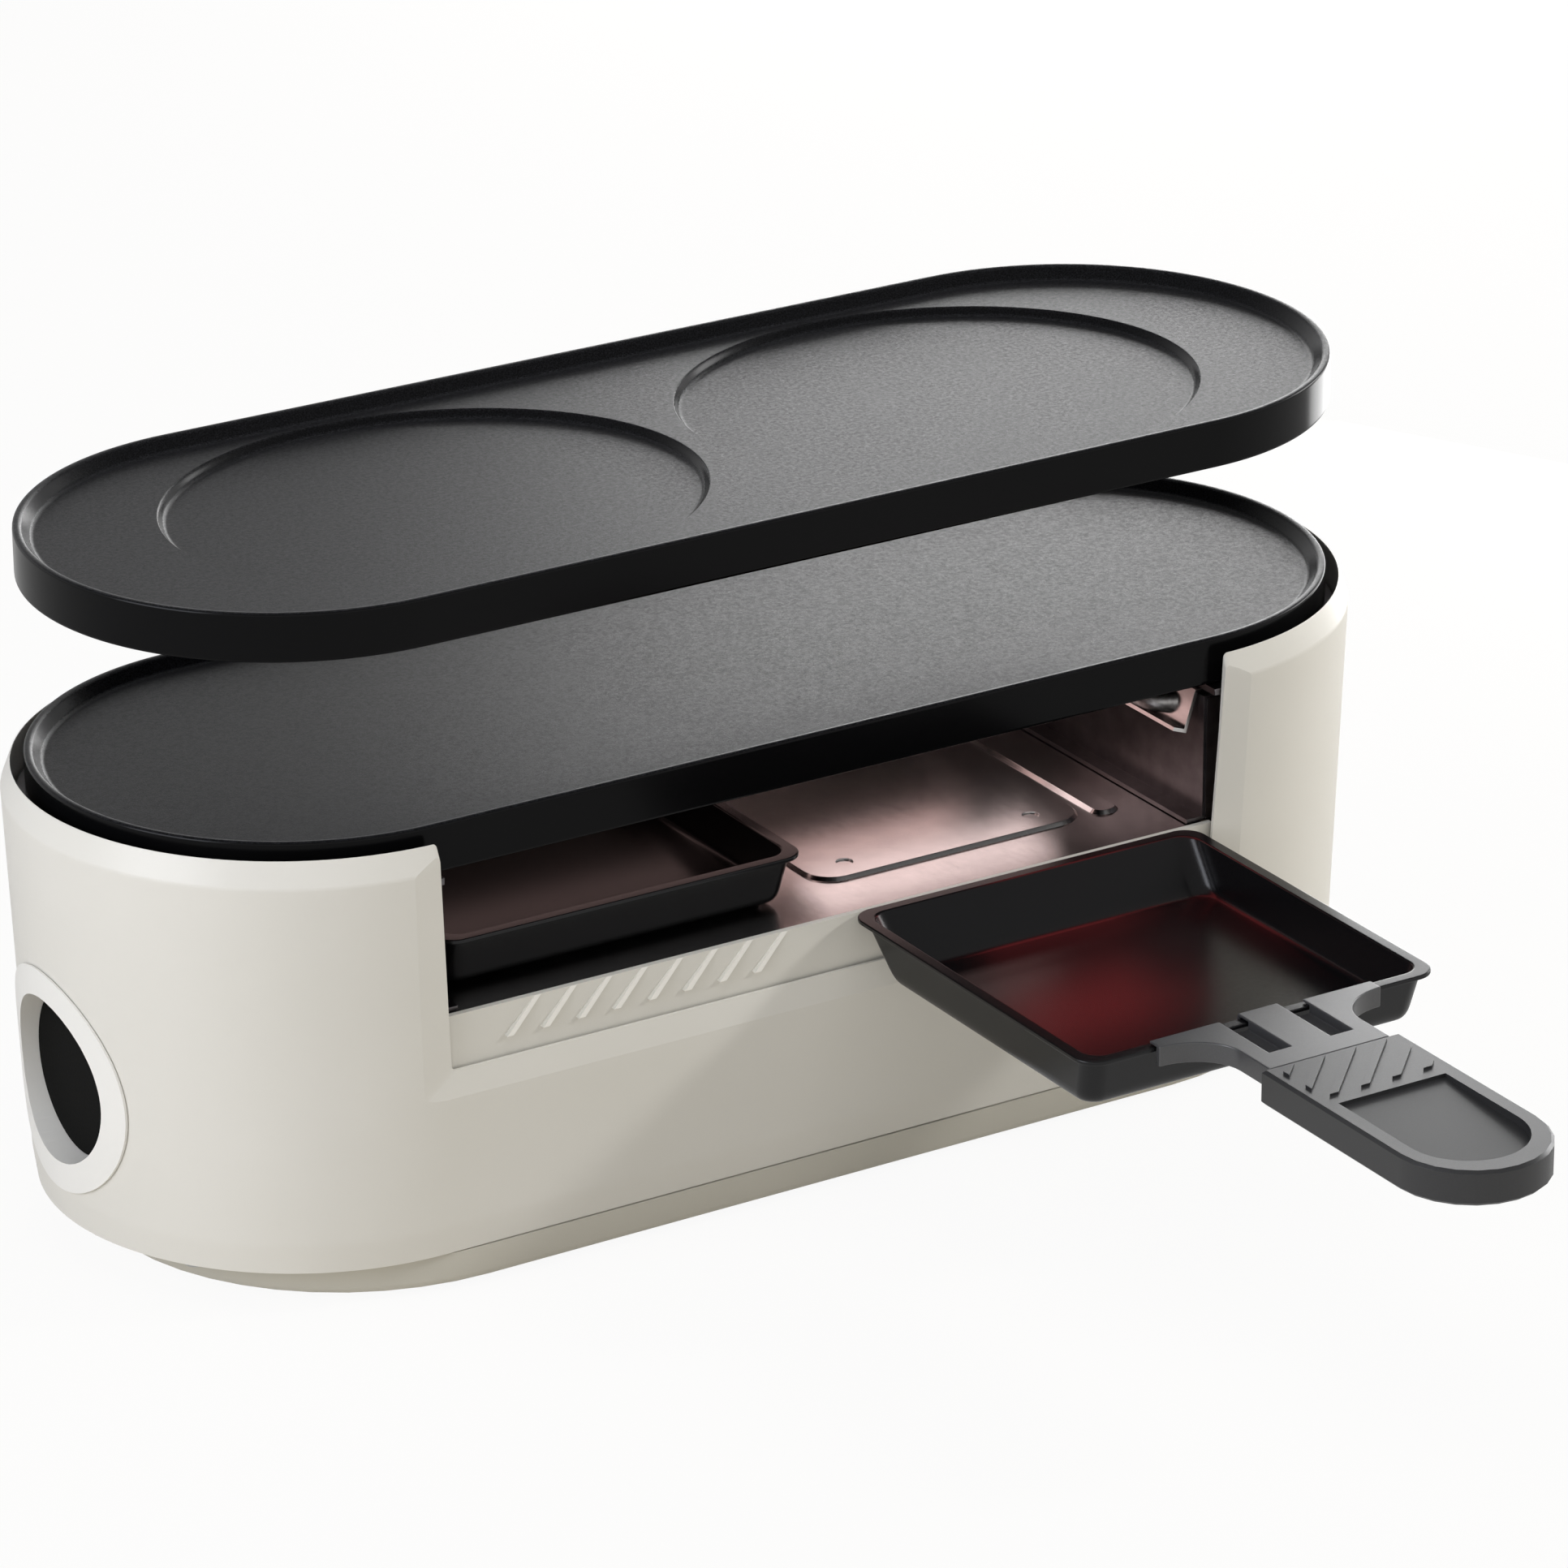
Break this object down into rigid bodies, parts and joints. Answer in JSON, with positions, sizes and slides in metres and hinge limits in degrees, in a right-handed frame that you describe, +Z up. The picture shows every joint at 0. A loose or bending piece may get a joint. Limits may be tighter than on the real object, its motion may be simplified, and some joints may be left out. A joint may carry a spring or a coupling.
{
  "type": "raclette grill",
  "caption": "Oval table-top raclette grill: cream shell with a cut-out front over a pan bay, lift-off dark grill plates, small square pans and a clip-on pan handle.",
  "frame": {"origin": "middle of the flat underside of the plinth, one millimetre above the table that the feet stand on", "axes": "+X along the grill to the right as seen from the front, -Y towards the person using the pans, +Z up"},
  "size_m": [0.3886, 0.3644, 0.1892],
  "materials": {
    "cream_shell": "satin cream",
    "rubber": "matt black",
    "screw_steel": "zinc plated",
    "tray_steel": "bright sheet, warm reflections",
    "dark_steel": "dark sheet steel",
    "element_steel": "satin sheath",
    "ceramic": "unglazed insulator",
    "black_plastic": "satin black",
    "pin_brass": "satin",
    "lead_red": "matt sleeve",
    "lead_blue": "matt sleeve",
    "lead_green": "matt sleeve",
    "plate_coating": "fine grained dark coating on cast metal",
    "pan_coating": "fine grained black coating on cast metal",
    "bracket_coating": "fine grained grey coating",
    "grip_plastic": "satin grey"
  },
  "bodies": {
    "grill": {"apron": "cream_shell", "base_pan": "cream_shell", "base_screw_front_left": "screw_steel", "base_screw_front_right": "screw_steel", "base_screw_rear_left": "screw_steel", "base_screw_rear_right": "screw_steel", "cup_left": "cream_shell", "cup_plate_left": "black_plastic", "cup_right": "cream_shell", "element_bead_front": "ceramic", "element_bead_rear": "ceramic", "end_deck_left": "dark_steel", "end_deck_right": "dark_steel", "foot_front_left": "rubber", "foot_front_right": "rubber", "foot_rear_left": "rubber", "foot_rear_right": "rubber", "heating_element": "element_steel", "inlet": "black_plastic", "inlet_pin_earth": "pin_brass", "inlet_pin_live": "pin_brass", "inlet_pin_neutral": "pin_brass", "lead_earth": "lead_green", "lead_element": "lead_red", "lead_live": "lead_red", "lead_neutral": "lead_blue", "rear_wall": "dark_steel", "reflector_tray": "tray_steel", "shell": "cream_shell", "side_wall_left": "dark_steel", "side_wall_right": "dark_steel", "thermostat": "black_plastic", "trough_left": "tray_steel", "trough_right": "tray_steel", "wall_screw_front_left": "screw_steel", "wall_screw_front_right": "screw_steel", "wall_screw_rear_left": "screw_steel", "wall_screw_rear_right": "screw_steel"},
    "lower_plate": {"lower_plate": "plate_coating"},
    "upper_plate": {"upper_plate": "plate_coating"},
    "pan_left": {"pan_left": "pan_coating"},
    "pan_right": {"pan_right": "pan_coating"},
    "handle": {"handle_bracket": "bracket_coating", "handle_grip": "grip_plastic", "handle_screw": "screw_steel"}
  },
  "joints": [
    {"name": "lower_plate_lift", "type": "slide", "parent": "grill", "child": "lower_plate", "axis": [0, 0, 1], "range_m": [0, 0.06]},
    {"name": "upper_plate_lift", "type": "slide", "parent": "lower_plate", "child": "upper_plate", "axis": [0, 0, 1], "range_m": [-0.0474, 0.06]},
    {"name": "pan_left_slide", "type": "slide", "parent": "grill", "child": "pan_left", "axis": [0, -1, 0], "range_m": [0, 0.13]},
    {"name": "pan_right_slide", "type": "slide", "parent": "grill", "child": "pan_right", "axis": [0, -1, 0], "range_m": [0, 0.09]},
    {"name": "handle_lift", "type": "slide", "parent": "pan_right", "child": "handle", "axis": [0, 0, 1], "range_m": [0, 0.03]}
  ]
}
